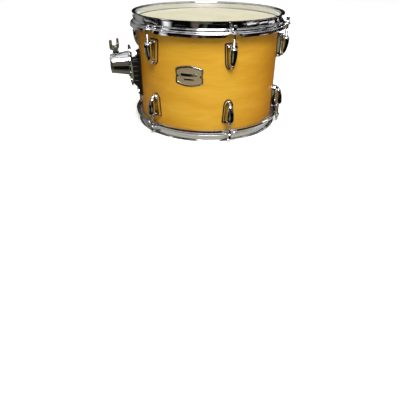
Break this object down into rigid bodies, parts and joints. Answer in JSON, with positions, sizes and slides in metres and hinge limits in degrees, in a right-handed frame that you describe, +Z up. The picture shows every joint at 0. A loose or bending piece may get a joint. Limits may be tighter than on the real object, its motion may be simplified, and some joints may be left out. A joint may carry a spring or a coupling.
{
  "type": "rack tom drum",
  "caption": "Rack tom drum: lacquered wood shell, two coated heads under pressed steel hoops, tension rods in cast lugs, and a side mount whose socket takes a holder arm.",
  "frame": {"origin": "centre of the ring on which the resonant hoop's rim would stand; the drum's axis passes through it", "axes": "+Z up along the drum's axis towards the batter head, -Y out through the badge, +X to the player's side away from the mount; the mount looks 62 degrees to the left of the badge"},
  "size_m": [0.3741, 0.3332, 0.2316],
  "materials": {
    "shell_lacquer": "clear high-gloss lacquer over amber birch",
    "badge_metal": "satin plate with a bright raised border, left bare",
    "pad_rubber": "matt",
    "mount_black": "satin black",
    "chrome": "polished chrome plate",
    "bolt_steel": "zinc-plated steel",
    "bush_plastic": "matt nylon",
    "collar_black": "satin",
    "head_film": "coated, matt, slightly translucent",
    "flesh_hoop": "plain"
  },
  "bodies": {
    "drum": {"shell": "shell_lacquer", "badge": "badge_metal", "mount_pad": "pad_rubber", "mount_base": "mount_black", "mount_plate": "chrome", "mount_bolts": "bolt_steel", "mount_barrel": "chrome", "socket_bush": "bush_plastic", "batter_film": "head_film", "batter_flesh_hoop": "flesh_hoop", "batter_hoop": "chrome", "batter_lugs": "chrome", "resonant_film": "head_film", "resonant_flesh_hoop": "flesh_hoop", "resonant_hoop": "chrome", "resonant_lugs": "chrome"},
    "clamp_shoe": {"clamp_shoe": "bolt_steel"},
    "wing_bolt": {"wing_bolt": "chrome", "wing_collar": "collar_black"},
    "batter_rod_1": {"batter_rod_1": "chrome"},
    "batter_rod_2": {"batter_rod_2": "chrome"},
    "batter_rod_3": {"batter_rod_3": "chrome"},
    "batter_rod_4": {"batter_rod_4": "chrome"},
    "batter_rod_5": {"batter_rod_5": "chrome"},
    "batter_rod_6": {"batter_rod_6": "chrome"},
    "resonant_rod_1": {"resonant_rod_1": "chrome"},
    "resonant_rod_2": {"resonant_rod_2": "chrome"},
    "resonant_rod_3": {"resonant_rod_3": "chrome"},
    "resonant_rod_4": {"resonant_rod_4": "chrome"},
    "resonant_rod_5": {"resonant_rod_5": "chrome"},
    "resonant_rod_6": {"resonant_rod_6": "chrome"}
  },
  "joints": [
    {"name": "clamp_shoe_lift", "type": "slide", "parent": "drum", "child": "clamp_shoe", "axis": [0, 0, 1], "range_m": [0, 0.0025]},
    {"name": "wing_bolt_turn", "type": "hinge", "parent": "clamp_shoe", "child": "wing_bolt", "pos_m": [-0.17756, -0.09441, 0.15], "axis": [0, 0, 1], "range_deg": [0, 720]},
    {"name": "batter_rod_1_turn", "type": "hinge", "parent": "drum", "child": "batter_rod_1", "pos_m": [-0.0842, 0.14584, 0.2136], "axis": [0, 0, 1], "range_deg": [-360, 1080]},
    {"name": "batter_rod_2_turn", "type": "hinge", "parent": "drum", "child": "batter_rod_2", "pos_m": [-0.1684, 0, 0.2136], "axis": [0, 0, 1], "range_deg": [-360, 1080]},
    {"name": "batter_rod_3_turn", "type": "hinge", "parent": "drum", "child": "batter_rod_3", "pos_m": [-0.0842, -0.14584, 0.2136], "axis": [0, 0, 1], "range_deg": [-360, 1080]},
    {"name": "batter_rod_4_turn", "type": "hinge", "parent": "drum", "child": "batter_rod_4", "pos_m": [0.0842, -0.14584, 0.2136], "axis": [0, 0, 1], "range_deg": [-360, 1080]},
    {"name": "batter_rod_5_turn", "type": "hinge", "parent": "drum", "child": "batter_rod_5", "pos_m": [0.1684, 0, 0.2136], "axis": [0, 0, 1], "range_deg": [-360, 1080]},
    {"name": "batter_rod_6_turn", "type": "hinge", "parent": "drum", "child": "batter_rod_6", "pos_m": [0.0842, 0.14584, 0.2136], "axis": [0, 0, 1], "range_deg": [-360, 1080]},
    {"name": "resonant_rod_1_turn", "type": "hinge", "parent": "drum", "child": "resonant_rod_1", "pos_m": [-0.0842, 0.14584, 0.018], "axis": [0, 0, -1], "range_deg": [-360, 1080]},
    {"name": "resonant_rod_2_turn", "type": "hinge", "parent": "drum", "child": "resonant_rod_2", "pos_m": [-0.1684, 0, 0.018], "axis": [0, 0, -1], "range_deg": [-360, 1080]},
    {"name": "resonant_rod_3_turn", "type": "hinge", "parent": "drum", "child": "resonant_rod_3", "pos_m": [-0.0842, -0.14584, 0.018], "axis": [0, 0, -1], "range_deg": [-360, 1080]},
    {"name": "resonant_rod_4_turn", "type": "hinge", "parent": "drum", "child": "resonant_rod_4", "pos_m": [0.0842, -0.14584, 0.018], "axis": [0, 0, -1], "range_deg": [-360, 1080]},
    {"name": "resonant_rod_5_turn", "type": "hinge", "parent": "drum", "child": "resonant_rod_5", "pos_m": [0.1684, 0, 0.018], "axis": [0, 0, -1], "range_deg": [-360, 1080]},
    {"name": "resonant_rod_6_turn", "type": "hinge", "parent": "drum", "child": "resonant_rod_6", "pos_m": [0.0842, 0.14584, 0.018], "axis": [0, 0, -1], "range_deg": [-360, 1080]}
  ],
  "couplings": [
    {"joint": "wing_bolt_turn", "follows": "clamp_shoe_lift", "rad_per_m": 5026.5}
  ]
}
